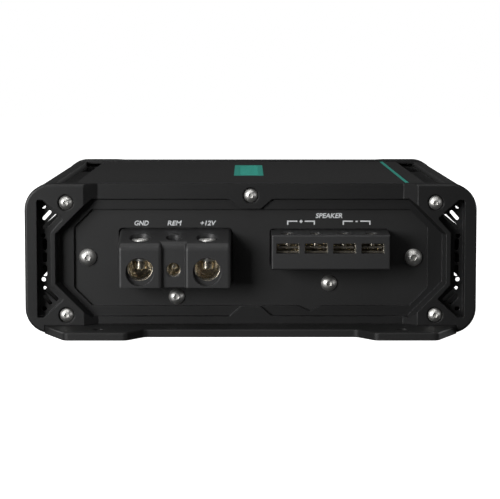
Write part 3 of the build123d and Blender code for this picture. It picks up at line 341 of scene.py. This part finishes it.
def make_materials():
    return {
        "cap_plastic": moulded_plastic("satin_cap_plastic", CAP_BLACK, 0.42, 2600.0, 0.022 * MM, 0.45 * MM),
        "body_coat": powder_coat("textured_body_coat", BODY_BLACK, 0.55),
        "panel_coat": moulded_plastic("satin_panel_coat", PANEL_BLACK, 0.46, 3400.0, 0.016 * MM, 0.25 * MM),
        "terminal_plastic": moulded_plastic("terminal_plastic", TERMINAL_GREY, 0.44, 3000.0, 0.014 * MM,
                                            0.3 * MM),
        "knob_plastic": moulded_plastic("knob_plastic", CAP_BLACK, 0.4, 3600.0, 0.012 * MM, 0.2 * MM),
        "teal_trim": glossy_trim("teal_trim", TEAL),
        "zinc_steel": bright_metal("bright_zinc", ZINC, 0.42, tarnish=0.1),
        "nickel_plate": bright_metal("nickel_plate", NICKEL, 0.24),
        "circuit_board": circuit_board("green_circuit_board"),
        "copper_winding": copper_winding("enamelled_copper"),
        "capacitor_sleeve": moulded_plastic("capacitor_sleeve", (0.01, 0.011, 0.02), 0.3, 1200.0, 0.01 * MM),
        "device_epoxy": moulded_plastic("device_epoxy", (0.012, 0.012, 0.012), 0.5, 5000.0, 0.01 * MM),
        "pad_rubber": silicone_pad("silicone_pad"),
        "clear_lens": clear_lens("clear_acrylic"),
    }


def dress_nodes(materials):
    """Give every CAD node the material of its slot."""
    slots = {part["node"]: part["material_slot"] for part in frame["record"]["subparts"]}
    for name, node in NODES.items():
        node.data.materials.clear()
        node.data.materials.append(materials[slots[name]])


# --------------------------------------------------------------------- helpers

def deselect():
    if bpy.context.mode != "OBJECT":
        bpy.ops.object.mode_set(mode="OBJECT")
    bpy.ops.object.select_all(action="DESELECT")


def settle(piece):
    """Bake an object's place, turn and size into its mesh."""
    deselect()
    piece.select_set(True)
    bpy.context.view_layer.objects.active = piece
    bpy.ops.object.transform_apply(location=True, rotation=True, scale=True)
    return piece


def join(pieces, name):
    """Join meshes into one named piece."""
    deselect()
    for piece in pieces:
        piece.select_set(True)
    bpy.context.view_layer.objects.active = pieces[0]
    if len(pieces) > 1:
        bpy.ops.object.join()
    pieces[0].name = name
    pieces[0].data.name = name
    return pieces[0]


def finish_piece(piece, material, body="chassis"):
    piece.data.materials.clear()
    piece.data.materials.append(material)
    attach(piece, body)
    return piece


# --------------------------------------------------------------------- legends

def word(text, height, width, x, z, face_y, front=True):
    """A word as a thin solid standing on a panel face, set to a given width."""
    deselect()
    bpy.ops.object.text_add()
    letters = bpy.context.object
    letters.data.body = text
    letters.data.align_x = "CENTER"
    letters.data.align_y = "CENTER"
    letters.data.size = height / CAPITAL_SHARE
    letters.data.shear = LETTER_SHEAR
    letters.data.offset = LETTER_WEIGHT * height
    letters.data.extrude = INK / 2
    letters.data.resolution_u = 3
    turn = 0.0 if front else math.pi
    side = -1 if front else 1
    letters.rotation_euler = (math.pi / 2, 0.0, turn)
    letters.location = (x, face_y + side * (INK / 2 + PRINT_GAP), z)
    bpy.ops.object.convert(target="MESH")
    letters = bpy.context.object
    letters.scale.x = width / letters.dimensions.x
    return settle(letters)


def bar(x, z, face_y):
    """A thin printed bar on the front panel, between x and z limits."""
    deselect()
    y = face_y - INK / 2 - PRINT_GAP
    bpy.ops.mesh.primitive_cube_add(size=1.0, location=((x[0] + x[1]) / 2, y, (z[0] + z[1]) / 2))
    piece = bpy.context.object
    piece.scale = (x[1] - x[0], INK, z[1] - z[0])
    return settle(piece)


def bracket(x0, x1, z, face_y):
    """A printed bracket over two terminals, open in the middle for its sign."""
    middle = (x0 + x1) / 2
    top = (z - BRACKET_LINE, z)
    leg = (z - BRACKET_DROP, z - BRACKET_LINE)
    return [
        bar((x0, middle - BRACKET_GAP), top, face_y),
        bar((middle + BRACKET_GAP, x1), top, face_y),
        bar((x0, x0 + BRACKET_LINE), leg, face_y),
        bar((x1 - BRACKET_LINE, x1), leg, face_y),
    ]


def sign(x, z, face_y, plus):
    """A printed plus or minus sign."""
    arm = 0.7 * MM if plus else 0.5 * MM
    half = SIGN_HALF_LINE
    strokes = [bar((x - arm, x + arm), (z - half, z + half), face_y)]
    if plus:
        strokes.append(bar((x - half, x + half), (z + half, z + arm), face_y))
        strokes.append(bar((x - half, x + half), (z - arm, z - half), face_y))
    return strokes


def power_legends(ink, face):
    """The name of each power terminal, over the block."""
    name_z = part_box("power_block_housing")[1].z + POWER_NAME_RISE
    words = []
    for node, (text, width) in POWER_NAMES.items():
        low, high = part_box(node + "_barrel")
        words.append(word(text, LETTER, width, (low.x + high.x) / 2 - LETTER_SET_LEFT, name_z, face))
    finish_piece(join(words, "power_legends"), ink)


def speaker_legends(ink, face):
    """The speaker block's title, and a signed bracket over each pair of terminals."""
    plates = [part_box(f"speaker_clamp_plate_{number}") for number in (1, 2, 3, 4)]
    centres = [(low.x + high.x) / 2 for low, high in plates]
    line_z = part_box("speaker_block_housing")[1].z + BRACKET_RISE
    marks = [word("SPEAKER", LETTER, SPEAKER_WIDTH, sum(centres) / 4, line_z + SPEAKER_RISE, face)]
    for pair, plus in ((centres[:2], True), (centres[2:], False)):
        marks += bracket(pair[0], pair[1], line_z, face)
        marks += sign(sum(pair) / 2, line_z - SIGN_DROP, face, plus)
    finish_piece(join(marks, "speaker_legends"), ink)


def tick(x, z, angle, near, far, face_y):
    """A short printed line pointing away from a knob, at an angle from straight up."""
    deselect()
    middle = (near + far) / 2
    place = (x - math.sin(angle) * middle, face_y + INK / 2 + PRINT_GAP, z + math.cos(angle) * middle)
    bpy.ops.mesh.primitive_cube_add(size=1.0, location=place, rotation=(0.0, -angle, 0.0))
    bpy.context.object.scale = (TICK_WIDTH, INK, far - near)
    return settle(bpy.context.object)


def rear_legends(ink, face):
    """Scale lines round each knob, longer at both ends and in the middle, and a title under it."""
    long_steps = (0, DIAL_STEPS // 2, DIAL_STEPS - 1)
    marks = []
    for name, (text, width) in DIAL_NAMES.items():
        low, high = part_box(name + "_knob")
        x, z, radius = (low.x + high.x) / 2, (low.z + high.z) / 2, (high.x - low.x) / 2
        for step in range(DIAL_STEPS):
            angle = math.radians(DIAL_TURN * (step / (DIAL_STEPS - 1) - 0.5))
            far = radius + (LONG_TICK_END if step in long_steps else TICK_END)
            marks.append(tick(x, z, angle, radius + TICK_GAP, far, face))
        marks.append(word(text, DIAL_LETTER, width, x, z - radius - DIAL_NAME_DROP, face, front=False))
    finish_piece(join(marks, "rear_legends"), ink)


def make_legends():
    """All the printing on both end panels."""
    ink = painted_ink("white_ink", LEGEND_WHITE)
    front_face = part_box("front_panel")[0].y
    rear_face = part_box("rear_panel")[1].y
    power_legends(ink, front_face)
    speaker_legends(ink, front_face)
    rear_legends(ink, rear_face)


# ------------------------------------------------------------ stage and camera

def area_light(name, place, size, power):
    """A soft rectangular lamp aimed at the amplifier."""
    data = bpy.data.lights.new(name, "AREA")
    data.shape = "RECTANGLE"
    data.size, data.size_y = size
    data.energy = power
    lamp = bpy.data.objects.new(name, data)
    bpy.context.scene.collection.objects.link(lamp)
    lamp.location = place
    lamp.rotation_euler = (Vector(LAMP_AIM) - Vector(place)).to_track_quat("-Z", "Y").to_euler()


def build_world():
    """A white surround for the eye, and a dim one for what lights the object."""
    world = bpy.data.worlds.new("studio")
    world.use_nodes = True
    bpy.context.scene.world = world
    graph = Graph(world.node_tree)
    white = (1.0, 1.0, 1.0, 1.0)
    seen = graph.node("ShaderNodeBackground", {}, {"Color": white, "Strength": SURROUND_SEEN})
    dim = graph.node("ShaderNodeBackground", {}, {"Color": white, "Strength": SURROUND_LIGHTING})
    camera_ray = graph.node("ShaderNodeLightPath")
    mix = graph.node("ShaderNodeMixShader", {}, {0: camera_ray, 1: dim, 2: seen})
    graph.node("ShaderNodeOutputWorld", {}, {"Surface": mix})


def build_floor():
    """The pale floor that the feet stand on."""
    deselect()
    bpy.ops.mesh.primitive_plane_add(size=FLOOR_SIZE, location=(0.0, 0.0, FLOOR_Z))
    floor = settle(bpy.context.object)
    floor.name = "studio_floor"
    floor.data.materials.append(floor_paper("floor_paper"))
    floor.visible_glossy = False
    floor.visible_diffuse = False


def build_lights():
    for name, (place, size, power) in LAMPS.items():
        area_light(name, place, size, power)


def build_camera():
    data = bpy.data.cameras.new("camera")
    data.lens = CAMERA_LENS
    data.sensor_width = 36.0
    data.clip_start = 0.01
    camera = bpy.data.objects.new("camera", data)
    bpy.context.scene.collection.objects.link(camera)
    camera.location = CAMERA_PLACE
    camera.rotation_euler = (math.radians(90.0 - CAMERA_TILT), 0.0, math.radians(CAMERA_TURN))
    bpy.context.scene.camera = camera


dress_nodes(make_materials())
make_legends()
build_world()
build_floor()
build_lights()
build_camera()
bpy.context.scene.view_settings.view_transform = "Standard"
